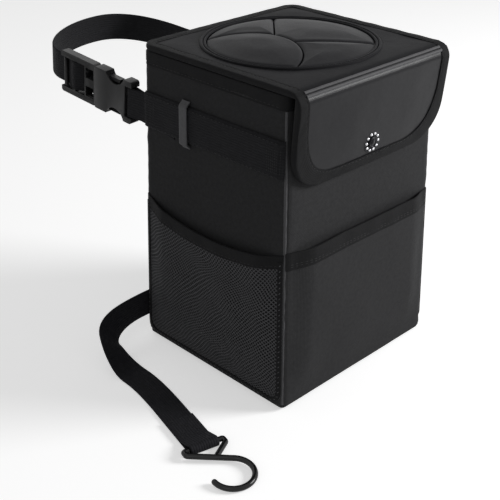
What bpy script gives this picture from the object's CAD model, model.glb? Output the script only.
"""A soft car trash bin with a petal opening, a front flap, mesh side pockets and a buckled strap."""

import math

import bmesh
import bpy
from bpy.props import FloatProperty, IntProperty, PointerProperty, StringProperty
from mathutils import Matrix, Vector, noise


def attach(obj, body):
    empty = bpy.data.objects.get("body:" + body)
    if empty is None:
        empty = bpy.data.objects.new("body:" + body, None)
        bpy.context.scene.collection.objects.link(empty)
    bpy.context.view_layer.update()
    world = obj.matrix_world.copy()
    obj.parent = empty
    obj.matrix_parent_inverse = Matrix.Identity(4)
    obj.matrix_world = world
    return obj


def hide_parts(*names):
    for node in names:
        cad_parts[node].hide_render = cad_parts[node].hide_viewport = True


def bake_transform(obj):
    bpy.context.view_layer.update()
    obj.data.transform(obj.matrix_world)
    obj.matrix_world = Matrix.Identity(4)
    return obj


bl_info = {
    "name": "Car Trash Bin",
    "version": (1, 0, 0),
    "blender": (4, 5, 0),
    "location": "3D View > Sidebar > Trash Bin",
    "description": "Builds the cloth, webbing, buckle and hook of a car trash bin",
    "category": "Add Mesh",
}

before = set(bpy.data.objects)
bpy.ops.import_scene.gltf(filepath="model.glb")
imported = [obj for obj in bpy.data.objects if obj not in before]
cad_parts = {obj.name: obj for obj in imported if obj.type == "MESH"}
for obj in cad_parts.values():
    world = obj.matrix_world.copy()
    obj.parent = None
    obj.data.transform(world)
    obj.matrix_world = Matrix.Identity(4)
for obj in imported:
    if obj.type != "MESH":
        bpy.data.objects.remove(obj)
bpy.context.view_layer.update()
MM = 0.001

# The part's sizes, in millimetres.
BIN_W = 166.0
BIN_D = 152.0
BIN_H = 257.0
FLARE = 6.0
CORNER_R = 6.0
BASE_R = 6.0
BASE_SEAM_H = 4.0
CLOTH_T = 1.4
WALL_T = 4.8
TAPE_T = 0.8
RIM_TAPE_H = 11.0
RIM_STITCH_UP = 1.8
PIPING_R = 1.3
PIPING_PROUD = 0.6
POCKET_H = 138.0
POCKET_BULGE = 6.4
POCKET_T = 1.0
POCKET_TAPE_H = 13.0
POCKET_FOOT_H = 5.0
MESH_H = 137.0
MESH_SAG = 11.0
MESH_T = 1.0
MESH_TAPE_H = 10.0
MESH_CORNER_R = 12.0
BAND_Z = 210.0
BAND_W = 29.0
STRAP_W = 25.0
WEB_T = 1.6
PLY_GAP = 0.1
POCKET_SEAM_IN = 0.6
BAND_OUT = 2 * (PLY_GAP + WEB_T)
KEEPER_W = 8.5
KEEPER_H = 38.0
KEEPER_X = 26.0
LID_W = 169.0
LID_FRONT = 86.0
LID_BACK = 79.0
LID_CORNER_R = 12.0
LID_FRONT_R = 3.0
LID_TAPE_W = 9.0
LID_STITCH_IN = 7.4
LID_EDGE_R = 1.6
LID_Z = 257.3
LID_TOP = 261.4
LID_CLOTH_T = 1.0
OPENING_R = 65.0
RING_STITCH_R = 71.2
PETAL_CROWN = 5.5
PETAL_BASE = 262.1
PETAL_SINK = 1.9
PETAL_EDGE_W = 3.6
PETAL_SLIT = 0.7
WEDGE_SLIT = 1.7
LEAF_X = -9.0
LEAF_R = 48.2
WEDGE_X = -22.0
WEDGE_Y = 5.0
WEDGE_DROP = 0.7
FLAP_LEN = 75.0
FLAP_CORNER_R = 32.0
FLAP_TAPE_W = 9.5
FLAP_HEM_W = 9.0
FLAP_STITCH_IN = 1.6
FLAP_T = 2.4
FLAP_CLOTH_T = 1.3
CREASE_R = 1.6
CREASE_Z = LID_TOP - CREASE_R
# The lid rolls over into the flap on this radius, and the fold lies FOLD_TURN degrees round.
ROLL_R = 10.0
ROLL_Z = LID_TOP - ROLL_R
FOLD_TURN = 52.0
ROLL_Y = ROLL_R * math.sin(math.radians(FOLD_TURN)) - LID_FRONT - 0.3
SNAP_DROP = 56.0
CAP_R = 9.0
CAP_H = 3.6
BEAD_COUNT = 10
BEAD_R = 1.4
WIRE_R = 2.25
BAR_LEN = 33.0
SHANK_LEN = 35.0
BOWL_R = 16.0
BOWL_SWEEP = 232.0
LOOP_TILT = 6.5
BUCKLE_YAW = 4.0
BUCKLE_START = 9.0
MALE_T = 7.0
BUCKLE_BEVEL = 0.28
SHOULDER_END = 57.3
LADDER_END = 86.3
MID_BAR_Y = 70.7
END_BAR_Y = 84.1
LADDER_BAR_R = 1.7
BAR_R = 2.2
BAR_Y = 3.2
STRAP_SAG = 6.0
TAIL_W = 24.0
TAIL_Z = 30.0
TAIL_X = MALE_T / 2 + PLY_GAP + WEB_T / 2
HOOK_X = -162.7
HOOK_Y = -71.7
HOOK_TURN = 14.0
PLY_LEN = 40.0
EYE_SLOPE = 20.0
HOOK_BEND = 4.5
SHANK_ANGLE = 32.6
SHANK_JOIN = 0.62

# Each petal's middle, and how far it lies above the others.
PETALS = (("left", -34, 0, 0.5), ("back", 2, 43, 0), ("right", 36, 2, 0), ("front", 2, -43, 0))
# A stitch and the gap behind it where a strap's end is tacked down.
TACK = (1.8, 0.3)

LEAN = math.atan(FLARE / BIN_H)
FRONT, LEFT, RIGHT, BACK = 0, -90, 90, 180

# The camera of the photograph: degrees, metres, and its lens in millimetres.
CAMERA_AZIMUTH = -44.5
CAMERA_ELEVATION = 28.2
CAMERA_DISTANCE = 0.829
CAMERA_LENS = 72
CAMERA_SENSOR = 36
AIM_Z = 0.131
AIM_LEFT = 0.0311
AIM_DOWN = 0.0447

# The lamps, in metres and watts, the strength of the air's light and the glow of the paper as seen.
LAMPS = (("Key", (1.0, -0.99, 0.76), 0.6, 19.5),
         ("Fill", (-1.2, -0.5, 0.9), 0.9, 1.4),
         ("Back", (0.4, 1.2, 1.4), 0.8, 1.6))
LAMP_AIM = Vector((0, 0, 0.15))
AIR_LIGHT = 0.2
PAPER_GLOW = 0.5
FLOOR_SIZE = 4
FLOOR_Z = -0.0003


class BinSizes(bpy.types.PropertyGroup):
    weave_pitch: FloatProperty(
        name="Weave pitch", description="Distance between two threads of the wall cloth",
        default=0.0012, min=0.0005, max=0.003, unit="LENGTH")
    rib_pitch: FloatProperty(
        name="Webbing rib", description="Width of one rib of the webbing",
        default=0.0021, min=0.001, max=0.004, unit="LENGTH")
    mesh_cell: FloatProperty(
        name="Mesh cell", description="Distance between two corners of the pocket's mesh",
        default=0.0034, min=0.0025, max=0.006, unit="LENGTH")
    mesh_thread: FloatProperty(
        name="Mesh thread", description="Width of the mesh's threads",
        default=0.0010, min=0.0004, max=0.0015, unit="LENGTH")
    wrinkle: FloatProperty(
        name="Wrinkles", description="Height of the soft waves in the cloth",
        default=0.0006, min=0.0, max=0.002, unit="LENGTH")
    stitch_len: FloatProperty(
        name="Stitch length", description="Length of one sewn stitch",
        default=0.0028, min=0.0015, max=0.005, unit="LENGTH")
    stitch_gap: FloatProperty(
        name="Stitch gap", description="Gap between two stitches",
        default=0.0013, min=0.0005, max=0.003, unit="LENGTH")
    petal_puff: FloatProperty(
        name="Petal padding", description="Half the height of a petal's padded edge",
        default=0.0019, min=0.0005, max=0.0022, unit="LENGTH")
    flap_bow: FloatProperty(
        name="Flap bow", description="How far the flap's middle stands forward",
        default=0.0008, min=0.0, max=0.002, unit="LENGTH")
    bead_facets: IntProperty(
        name="Bead sides", description="Sides of a bead on the snap",
        default=16, min=8, max=32)


# Each colour's name, what it is on, and its sRGB hex.
COLOURS = {
    "wall": ("Wall cloth", "the coated polyester", "#373738"),
    "lid": ("Lid cloth", "the smooth lid cloth", "#252527"),
    "piping": ("Piping", "the corner piping", "#4a4a4c"),
    "petal": ("Petal cloth", "the padded petals", "#303032"),
    "tape": ("Binding", "the binding tape", "#1b1b1c"),
    "webbing": ("Webbing", "the straps", "#232325"),
    "mesh": ("Mesh", "the knitted mesh", "#5a5a5c"),
    "tail": ("Lower strap", "the lower strap", "#27272a"),
    "keeper": ("Keeper", "the keeper loops", "#545456"),
    "liner": ("Liner", "the waterproof liner", "#5a5a5c"),
    "board": ("Board", "the stiffener boards", "#8c8a84"),
    "plastic": ("Buckle", "the moulded buckle", "#1f1f20"),
    "metal": ("Metal", "the plated metal", "#c9c9cc"),
    "gunmetal": ("Gunmetal", "the snap's dark plate", "#1c1c1e"),
    "wire": ("Wire coating", "the hook's coating", "#111112"),
    "thread": ("Thread", "the sewing thread", "#1f1f20"),
    "seam_thread": ("Corner thread", "the pocket's edge thread", "#5a5a5c"),
    "floor": ("Floor", "the floor", "#f4f4f4"),
}


class BinColours(bpy.types.PropertyGroup):
    __annotations__ = {
        key: StringProperty(name=name, description=f"sRGB hex of {what}", default=code)
        for key, (name, what, code) in COLOURS.items()}


def sizes():
    return bpy.context.scene.bin_sizes


def colours():
    return bpy.context.scene.bin_colours


def linear(code):
    """A hex colour as linear light, with full alpha."""
    parts = [int(code[i:i + 2], 16) / 255 for i in (1, 3, 5)]
    return [p / 12.92 if p <= 0.04045 else ((p + 0.055) / 1.055) ** 2.4 for p in parts] + [1.0]


def shade(code, factor):
    return [c * factor for c in linear(code)[:3]] + [1.0]


def clamp(x, low=0.0, high=1.0):
    return max(low, min(high, x))


def ease(x):
    x = clamp(x)
    return x * x * (3 - 2 * x)


def rounded_step(x):
    """Rises from 0 to 1 like the edge of a cushion."""
    return math.sqrt(1 - (1 - clamp(x)) ** 2)


def wave(a, b, size, seed):
    """A smooth wave of about -1 to 1 over a surface, the same in every run."""
    return 2 * noise.noise(Vector((a / size, b / size, seed)))


def lerp(a, b, t):
    return a + (b - a) * t


def spread(a, b, steps):
    """Evenly spaced values from a to b, with both ends."""
    return [lerp(a, b, i / steps) for i in range(steps + 1)]


def full_circle(steps):
    """Angles round a circle, in radians, without the last one that meets the first."""
    return [2 * math.pi * i / steps for i in range(steps)]


def bell(x, width):
    """A smooth bump of height 1 at 0, such as the dent under a row of stitches."""
    return math.exp(-(x / width) ** 2)


# Places that the source of the part works out too.

def half_w(z):
    return BIN_W / 2 + FLARE * (1 - z / BIN_H)


def half_d(z):
    return BIN_D / 2 + FLARE * (1 - z / BIN_H)


def is_end(turn):
    return abs(turn) != 90


def wall_frame(turn):
    """x to the right seen from outside, y into the bin from the wall, z up the wall."""
    out = half_d(0) if is_end(turn) else half_w(0)
    return (Matrix.Rotation(math.radians(turn), 4, "Z") @ Matrix.Translation((0, -out, 0))
            @ Matrix.Rotation(-LEAN, 4, "X"))


def loop_frame():
    return (Matrix.Translation((0, half_d(BAND_Z) + 2, BAND_Z))
            @ Matrix.Rotation(math.radians(LOOP_TILT), 4, "X"))


STRAP_X = half_w(BAND_Z) + PLY_GAP + WEB_T / 2
FLAP_LEAN = math.asin(
    (LID_FRONT - half_d(CREASE_Z - FLAP_LEN) - 0.3 - FLAP_T / 2 - TAPE_T) / FLAP_LEN)


def flap_frame():
    """x across, y inwards, z up from the crease."""
    return (Matrix.Translation((0, -LID_FRONT, CREASE_Z))
            @ Matrix.Rotation(FLAP_LEAN, 4, "X"))


def snap_frame():
    """z outwards from the flap's face, at the snap's middle."""
    return (flap_frame() @ Matrix.Translation((0, -FLAP_T / 2, -SNAP_DROP))
            @ Matrix.Rotation(math.radians(90), 4, "X"))


def hook_frame():
    """x along the hook's bar, y towards its bowl, z up from the bar."""
    eye_z = WIRE_R + 0.3 + WEB_T
    bowl_y = bowl_middle().y + BOWL_R
    tip = math.asin((eye_z - WIRE_R) / bowl_y)
    return (Matrix.Translation((HOOK_X, HOOK_Y, 0))
            @ Matrix.Rotation(math.radians(180 - HOOK_TURN), 4, "Z")
            @ Matrix.Scale(-1, 4, (1, 0, 0))
            @ Matrix.Translation((0, 0, eye_z)) @ Matrix.Rotation(-tip, 4, "X"))


def shank_end():
    a = math.radians(SHANK_ANGLE)
    return Vector((-BAR_LEN / 2, HOOK_BEND, 0)) + SHANK_LEN * Vector((math.cos(a), math.sin(a), 0))


def bowl_middle():
    a = math.radians(SHANK_ANGLE)
    return shank_end() + BOWL_R * Vector((-math.sin(a), math.cos(a), 0))


def bezier_run(a, b, c, d, steps):
    run = []
    for i in range(1, steps + 1):
        t = i / steps
        run.append((1 - t) ** 3 * a + 3 * t * (1 - t) ** 2 * b + 3 * t * t * (1 - t) * c + t ** 3 * d)
    return run


def arc(middle, radius, start, end, steps):
    """Points round a middle in a plane, angles in degrees."""
    turns = [math.radians(angle) for angle in spread(start, end, steps)]
    return [Vector((middle[0] + radius * math.cos(a), middle[1] + radius * math.sin(a)))
            for a in turns]


def heading(points, i):
    return (points[min(i + 1, len(points) - 1)] - points[max(i - 1, 0)]).normalized()


def lengths(points):
    total = [0.0]
    for a, b in zip(points, points[1:]):
        total.append(total[-1] + (b - a).length)
    return total


def finer(points, rounds=2):
    """Rounds the corners of a run of points, and keeps its two ends."""
    for _ in range(rounds):
        cut = [points[0]]
        for a, b in zip(points, points[1:]):
            cut += [a.lerp(b, 0.25), a.lerp(b, 0.75)]
        points = cut + [points[-1]]
    return points


def skin(turn, u, z, off):
    """A point of a wall: u along it from its middle, z up, off outwards. It ends at the corner seams."""
    pull = 0.0
    if z < BASE_R:
        pull = BASE_R - math.sqrt(BASE_R ** 2 - (BASE_R - z) ** 2)
    across = (half_w(z) if is_end(turn) else half_d(z)) - pull
    out = (half_d(z) if is_end(turn) else half_w(z)) - pull
    flat = across - CORNER_R
    a = clamp((abs(u) - flat) / CORNER_R, 0, math.pi / 4)
    x = min(abs(u), flat) + (CORNER_R + off) * math.sin(a)
    y = -(out - CORNER_R + (CORNER_R + off) * math.cos(a))
    return Matrix.Rotation(math.radians(turn), 3, "Z") @ Vector((math.copysign(x, u), y, z))


def skin_half(turn, z):
    """Half the length of a wall at height z, up to its corner seams."""
    return (half_w(z) if is_end(turn) else half_d(z)) - CORNER_R + CORNER_R * math.pi / 4


# Making meshes.

def cloth_grid(columns, rows, place, measure):
    """A sheet whose points go where place(s, t) says, with a UV map in metres from measure(s, t)."""
    bm = bmesh.new()
    bmesh.ops.create_grid(bm, x_segments=columns, y_segments=rows, size=0.5)
    layer = bm.loops.layers.uv.new("UVMap")
    for face in bm.faces:
        for loop in face.loops:
            u, v = measure(loop.vert.co.x + 0.5, loop.vert.co.y + 0.5)
            loop[layer].uv = (u * MM, v * MM)
    for vert in bm.verts:
        vert.co = place(clamp(vert.co.x + 0.5), clamp(vert.co.y + 0.5))
    return bm


def close_up(bm):
    """Joins points that meet, closes open ends and turns the faces outwards."""
    bmesh.ops.remove_doubles(bm, verts=bm.verts, dist=1e-4)
    bmesh.ops.dissolve_degenerate(bm, dist=1e-5, edges=bm.edges)
    bmesh.ops.holes_fill(bm, edges=[e for e in bm.edges if e.is_boundary], sides=0)
    bmesh.ops.recalc_face_normals(bm, faces=bm.faces)
    return bm


def turn_outwards(bm, way, outer=lambda middle: True):
    """Makes an open sheet's faces agree, with those on its outer side looking along way."""
    bmesh.ops.recalc_face_normals(bm, faces=bm.faces)
    if sum(f.normal.dot(way) for f in bm.faces if outer(f.calc_center_median())) < 0:
        bmesh.ops.reverse_faces(bm, faces=bm.faces)


def sweep(section, stations, ring=False):
    """Carries a closed section (a, b) along stations of (middle, a's direction, b's direction)."""
    loop = list(section) + [section[0]]
    stops = list(stations) + ([stations[0]] if ring else [])
    round_the_edge = lengths([Vector(p) for p in loop])
    along = lengths([s[0] for s in stops])
    columns, rows = len(loop) - 1, len(stops) - 1

    def place(s, t):
        a, b = loop[round(s * columns)]
        middle, wide, flat = stops[round(t * rows)]
        return middle + a * wide + b * flat

    def measure(s, t):
        return round_the_edge[round(s * columns)], along[round(t * rows)]

    return close_up(cloth_grid(columns, rows, place, measure))


def round_section(radius, sides=12):
    return [(radius * math.cos(a), radius * math.sin(a)) for a in full_circle(sides)]


def web_section(width, thick, steps=10):
    """A flat strap's section with rounded edges."""
    w, r = width / 2, thick / 2
    top = [(x, r) for x in spread(-w + r, w - r, steps)]
    edge = [(w - r + r * math.cos(a), r * math.sin(a)) for a in (math.pi / 4, 0, -math.pi / 4)]
    half = top + edge
    return half + [(-a, -b) for a, b in half]


def flat_stations(points, wide):
    """Stations of a strap whose width points one way all along."""
    stops = []
    for i, p in enumerate(points):
        h = heading(points, i)
        stops.append((p, wide, h.cross(wide).normalized()))
    return stops


def tube_stations(points):
    """Stations of a round bar that doesn't twist, for runs that lie mostly in one plane."""
    stops = []
    side = None
    for i, p in enumerate(points):
        h = heading(points, i)
        if side is None:
            side = h.orthogonal().normalized()
        side = (side - side.dot(h) * h).normalized()
        stops.append((p, side, h.cross(side)))
    return stops


def settle(obj, sharp):
    """Applies the modifiers and shades the mesh smooth, with sharp folds kept."""
    graph = bpy.context.evaluated_depsgraph_get()
    mesh = bpy.data.meshes.new_from_object(obj.evaluated_get(graph))
    obj.modifiers.clear()
    rough = obj.data
    obj.data = mesh
    bpy.data.meshes.remove(rough)
    mesh.name = obj.name
    mesh.shade_smooth()
    mesh.set_sharp_from_angle(angle=math.radians(sharp))


def finish_piece(bm, name, look, body, nodes=(), thick=0.0, levels=0, flip=False, sharp=40.0,
                 blend=None):
    """Makes a mesh in millimetres a piece of the scene that moves with a body."""
    place = Matrix.Scale(MM, 4)
    if flip:
        place = place @ Matrix.Scale(-1, 4, (1, 0, 0))
    bmesh.ops.transform(bm, matrix=place, verts=bm.verts)
    if flip:
        bmesh.ops.reverse_faces(bm, faces=bm.faces)
    mesh = bpy.data.meshes.new(name)
    bm.to_mesh(mesh)
    bm.free()
    obj = bpy.data.objects.new(name, mesh)
    bpy.context.scene.collection.objects.link(obj)
    mesh.materials.append(material(look))
    if thick:
        shell = obj.modifiers.new("Thickness", "SOLIDIFY")
        shell.thickness = thick * MM
        shell.offset = -1
        shell.use_even_offset = False
    if levels:
        finer_mesh = obj.modifiers.new("Subdivision", "SUBSURF")
        finer_mesh.levels = levels
        finer_mesh.render_levels = levels
    settle(obj, sharp)
    if blend:
        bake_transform(obj)
    else:
        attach(obj, body)
    if nodes:
        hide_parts(*nodes)
    return obj


# Sewing.

def stitch_row(points, ups, length=None, gap=None):
    """Places for stitches along a line on a surface, with one normal or one for each point."""
    if isinstance(ups, Vector):
        ups = [ups] * len(points)
    length = length or sizes().stitch_len / MM
    step = length + (gap or sizes().stitch_gap / MM)
    along = lengths(points)
    rows, at, i = [], length / 2, 0
    while at < along[-1] - length / 2:
        while along[i + 1] < at:
            i += 1
        t = (at - along[i]) / max(along[i + 1] - along[i], 1e-9)
        way = (points[i + 1] - points[i]).normalized()
        up = ups[i].lerp(ups[min(i + 1, len(ups) - 1)], t).normalized()
        side = way.cross(up).normalized()
        rows.append((points[i].lerp(points[i + 1], t), side, side.cross(way), way, length))
        at += step
    return rows


def sew(name, look, body, rows, radius=0.26, flip=False):
    """Makes one piece of all the stitches of a row list."""
    bm = bmesh.new()
    bm.loops.layers.uv.new("UVMap")
    for middle, side, up, way, length in rows:
        turn = Matrix((side, up, way)).transposed().to_4x4()
        size = Matrix.Diagonal((radius, radius * 0.8, length / 2, 1))
        bmesh.ops.create_uvsphere(
            bm, u_segments=6, v_segments=4, radius=1,
            matrix=Matrix.Translation(middle) @ turn @ size)
    return finish_piece(bm, name, look, body, flip=flip, sharp=80)


# Finishes. Each is named for what the real one is.

def add(tree, kind, inputs=None, **settings):
    """Adds a node, sets it, and sets or links its inputs."""
    node = tree.nodes.new(kind)
    for name, value in settings.items():
        setattr(node, name, value)
    for name, value in (inputs or {}).items():
        if isinstance(value, bpy.types.NodeSocket):
            tree.links.new(value, node.inputs[name])
        else:
            node.inputs[name].default_value = value
    return node


def place_of(tree, source):
    """The UV map, for new pieces, or Object coordinates, for the carried-over solids."""
    return add(tree, "ShaderNodeTexCoord").outputs["UV" if source == "uv" else "Object"]


def thread_wave(tree, value, pitch, power=1.0):
    """A row of rounded threads across a coordinate, one in every pitch metres."""
    turn = add(tree, "ShaderNodeMath", {0: value, 1: math.pi / pitch}, operation="MULTIPLY")
    sine = add(tree, "ShaderNodeMath", {0: turn.outputs[0]}, operation="SINE")
    level = add(tree, "ShaderNodeMath", {0: sine.outputs[0]}, operation="ABSOLUTE")
    return add(tree, "ShaderNodeMath", {0: level.outputs[0], 1: power}, operation="POWER").outputs[0]


def mottled(tree, place, code, scale, low, high):
    """A colour that wanders a little, as dyed cloth and moulded plastic do."""
    field = add(tree, "ShaderNodeTexNoise", {"Vector": place, "Scale": scale, "Detail": 4.0})
    ramp = add(tree, "ShaderNodeValToRGB", {"Fac": field.outputs["Fac"]})
    ramp.color_ramp.elements[0].position = 0.3
    ramp.color_ramp.elements[0].color = shade(code, low)
    ramp.color_ramp.elements[1].position = 0.7
    ramp.color_ramp.elements[1].color = shade(code, high)
    return ramp.outputs["Color"]


def bumped(tree, layers):
    """One bump on the next, from (height, depth in metres)."""
    normal = None
    for height, depth in layers:
        inputs = {"Height": height, "Distance": depth, "Strength": 1.0}
        if normal is not None:
            inputs["Normal"] = normal
        normal = add(tree, "ShaderNodeBump", inputs).outputs["Normal"]
    return normal


def principled(tree, inputs):
    shader = add(tree, "ShaderNodeBsdfPrincipled", inputs)
    add(tree, "ShaderNodeOutputMaterial", {"Surface": shader.outputs["BSDF"]})


def darkened(tree, colour, height, low):
    """Darkens the gaps between threads."""
    level = add(tree, "ShaderNodeMapRange", {"Value": height, "To Min": low, "To Max": 1.0})
    mix = add(tree, "ShaderNodeVectorMath", {0: colour, 1: level.outputs["Result"]},
              operation="MULTIPLY")
    return mix.outputs["Vector"]


def noise_field(tree, place, scale, detail):
    """Cloudy values from 0 to 1."""
    field = add(tree, "ShaderNodeTexNoise", {"Vector": place, "Scale": scale, "Detail": detail})
    return field.outputs["Fac"]


def woven(tree, colour, depth, rough, gloss, wrinkle, pitch=1.0, source="uv"):
    """Plain-woven polyester: crossing threads, and soft wrinkles. The pitch is a share of the wall's."""
    place = place_of(tree, source)
    split = add(tree, "ShaderNodeSeparateXYZ", {"Vector": place})
    warp, weft = split.outputs["X"], split.outputs["Y"]
    if source == "object":
        warp = add(tree, "ShaderNodeMath", {0: warp, 1: weft}).outputs[0]
        weft = split.outputs["Z"]
    pitch *= sizes().weave_pitch
    height = add(tree, "ShaderNodeMath", {
        0: thread_wave(tree, warp, pitch), 1: thread_wave(tree, weft, pitch)},
        operation="MULTIPLY").outputs[0]
    base = mottled(tree, place, getattr(colours(), colour), 320.0, 0.9, 1.1)
    principled(tree, {
        "Base Color": darkened(tree, base, height, 0.84), "Roughness": rough,
        "Specular IOR Level": gloss,
        "Normal": bumped(tree, [(noise_field(tree, place, 28.0, 3.0), wrinkle),
                                (noise_field(tree, place, 900.0, 2.0), depth * 0.6),
                                (height, depth)])})


def ribbed(tree, colour):
    """Woven strap: raised ribs along its length, crossed by fine picks, matt with soft edges."""
    place = place_of(tree, "uv")
    split = add(tree, "ShaderNodeSeparateXYZ", {"Vector": place})
    ribs = thread_wave(tree, split.outputs["X"], sizes().rib_pitch, 0.7)
    picks = thread_wave(tree, split.outputs["Y"], sizes().weave_pitch)
    height = add(tree, "ShaderNodeMath", {0: ribs, 1: picks}, operation="MULTIPLY").outputs[0]
    base = mottled(tree, place, getattr(colours(), colour), 260.0, 0.85, 1.15)
    principled(tree, {
        "Base Color": darkened(tree, base, ribs, 0.82), "Roughness": 0.7, "Specular IOR Level": 0.07,
        "Normal": bumped(tree, [(ribs, 0.0002), (height, 0.00012)])})


def grained(tree, colour, tone, rough, layers, **inputs):
    """A film, board, plastic, metal or thread, with noise layers of (scale, detail, depth in metres).

    Its tone is (scale, darkest, lightest). Where rough is a pair, it follows the last layer.
    """
    place = place_of(tree, "object")
    fields = [noise_field(tree, place, *layer[:2]) for layer in layers]
    if isinstance(rough, tuple):
        rough = add(tree, "ShaderNodeMapRange", {
            "Value": fields[-1], "From Min": 0.3, "From Max": 0.7,
            "To Min": rough[0], "To Max": rough[1]}).outputs["Result"]
    bumps = [(field, layer[2]) for field, layer in zip(fields, layers) if layer[2]]
    shader = {name.replace("_", " "): value for name, value in inputs.items()}
    principled(tree, {
        "Base Color": mottled(tree, place, getattr(colours(), colour), *tone), "Roughness": rough,
        "Normal": bumped(tree, bumps), **shader})


WALL_CLOTH = dict(colour="wall", depth=0.00012, rough=0.8, gloss=0.05, wrinkle=0.0009)
TAPE = dict(colour="tape", depth=0.0001, rough=0.7, gloss=0.08, wrinkle=0.0005, pitch=0.9)
PIPING = dict(colour="piping", depth=0.00006, rough=0.5, gloss=0.2, wrinkle=0.0003, pitch=0.8)
THREAD = dict(tone=(400.0, 0.85, 1.2), rough=0.6, layers=[(2400.0, 1.0, 0.00006)],
              Specular_IOR_Level=0.2)

# The record's slot, the finish and its settings.
LOOKS = {
    # Coated polyester: matt, with a grain of crossed threads.
    "Coated polyester": ("cloth", woven, WALL_CLOTH),
    "Coated polyester, carried over": ("cloth", woven, dict(WALL_CLOTH, source="object")),
    # Smoother coated cloth on the flap, which shines a little where it rolls over.
    "Smooth lid cloth": ("lid_cloth", woven, dict(
        colour="lid", depth=0.00002, rough=0.27, gloss=0.08, wrinkle=0.0006, pitch=0.8)),
    # The same cloth drawn tight over the lid's board, where its gloss is rubbed off.
    "Lid top cloth": ("lid_cloth", woven, dict(
        colour="lid", depth=0.00002, rough=0.45, gloss=0.02, wrinkle=0.0006, pitch=0.8)),
    # The lid's cloth stretched over padding: lighter where it is taut.
    "Padded petal cloth": ("lid_cloth", woven, dict(
        colour="petal", depth=0.00002, rough=0.4, gloss=0.035, wrinkle=0.0005, pitch=0.8)),
    # Cloth drawn tight over a cord: paler, because it catches the light.
    "Corner piping": ("cloth", woven, PIPING),
    "Fold piping": ("lid_cloth", woven, PIPING),
    # Folded polyester tape: darker and finely ribbed.
    "Binding tape": ("tape", woven, TAPE),
    "Binding tape, carried over": ("tape", woven, dict(TAPE, source="object")),
    # Knitted polyester yarn: round and dull, with small highlights.
    "Knitted mesh": ("mesh", woven, dict(
        colour="mesh", depth=0.00008, rough=0.7, gloss=0.08, wrinkle=0.0002, pitch=7 / 12)),
    # Polyester webbing of the bands and the upper straps.
    "Ribbed webbing": ("webbing", ribbed, dict(colour="webbing")),
    # The lower strap is a slightly faded webbing.
    "Faded webbing": ("webbing", ribbed, dict(colour="tail")),
    # Polyester keeper tape: paler than the straps, with a slight lustre.
    "Keeper tape": ("webbing", woven, dict(
        colour="keeper", depth=0.0001, rough=0.55, gloss=0.2, wrinkle=0.0004, pitch=0.9)),
    # Waterproof film heat-pressed on cloth: low creases and a dull gloss.
    "Film liner": ("liner", grained, dict(
        colour="liner", tone=(90.0, 0.9, 1.1), rough=0.42,
        layers=[(60.0, 5.0, 0.0009), (700.0, 2.0, 0.00006)])),
    # Pressed board: dull, with short fibres.
    "Stiffener board": ("board", grained, dict(
        colour="board", tone=(180.0, 0.88, 1.1), rough=0.9, layers=[(1200.0, 3.0, 0.0001)])),
    # Injection-moulded acetal: black, satin, with a spark-eroded grain of about 0.6 mm
    # that is drawn a little coarser than the real one so that it shows.
    "Moulded acetal": ("plastic", grained, dict(
        colour="plastic", tone=(120.0, 0.9, 1.1), rough=(0.34, 0.48),
        layers=[(1400.0, 2.0, 0.00006), (70.0, 4.0, 0)], IOR=1.48, Specular_IOR_Level=0.25)),
    # Nickel plate: bright, with fine handling marks.
    "Nickel plate": ("metal", grained, dict(
        colour="metal", tone=(300.0, 0.9, 1.0), rough=(0.2, 0.32),
        layers=[(500.0, 4.0, 0.00002)], Metallic=1.0)),
    # Gunmetal plate in the middle of the snap.
    "Gunmetal plate": ("metal", grained, dict(
        colour="gunmetal", tone=(300.0, 0.85, 1.1), rough=(0.25, 0.4),
        layers=[(400.0, 4.0, 0.00003)], Metallic=1.0)),
    # Steel wire dipped in black vinyl: glossy, slightly uneven coat.
    "Vinyl-dipped wire": ("wire", grained, dict(
        colour="wire", tone=(90.0, 0.85, 1.15), rough=(0.16, 0.28),
        layers=[(180.0, 2.0, 0.0002)], IOR=1.5, Specular_IOR_Level=0.22,
        Coat_Weight=0.1, Coat_Roughness=0.12)),
    # Twisted polyester thread: a faint lustre and a fine twist.
    "Sewing thread": ("tape", grained, dict(THREAD, colour="thread")),
    # The lighter overlock thread along the mesh pockets' edges.
    "Overlock thread": ("tape", grained, dict(THREAD, colour="seam_thread")),
}


def material(look):
    found = bpy.data.materials.get(look)
    if found:
        return found
    made = bpy.data.materials.new(look)
    made.use_nodes = True
    made.node_tree.nodes.clear()
    _, finish, settings = LOOKS[look]
    finish(made.node_tree, **settings)
    return made


# The pieces.

def seam_half(turn, z):
    """Half the width of a pocket that is sewn in at the corner seams."""
    return skin_half(turn, z) - POCKET_SEAM_IN


def pillow(to_side, to_foot):
    """How far a pocket stands off its wall, from the distances to its sewn edges."""
    return (POCKET_BULGE - 1.0) * ease(to_side / 26) * ease(to_foot / 46) + 0.3


def folded_tape(half, top_at, depth_at, turn, height, t):
    """Tape over a pocket's top edge: down its front, over the edge and down its back."""
    rim = TAPE_T / 2 + t / 2
    step = 1.2
    path = [(0.0, -height + step * i) for i in range(int(height / step))]
    path += [(rim - rim * math.cos(math.radians(a)), rim * math.sin(math.radians(a)))
             for a in range(0, 181, 30)]
    path += [(2 * rim, -height * i / 6) for i in range(1, 7)]
    run = lengths([Vector(p) for p in path])
    rows, columns = len(path) - 1, 96

    def place(s, part):
        x = (2 * s - 1) * half
        back, drop = path[round(part * rows)]
        top = top_at(x) - rim
        z = top + drop
        front = depth_at(x, min(z, top)) + TAPE_T
        press = 0.35 * bell(drop + height - 1.6, 0.8) if back == 0 else 0.0
        front += 0.25 * wave(x, z, 17, 3.0) * ease((half - abs(x)) / 12) - press
        return skin(turn, x, z, max(front - back, 0.12))

    return cloth_grid(columns, rows, place,
                      lambda s, part: ((2 * s - 1) * half, run[round(part * rows)]))


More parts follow.
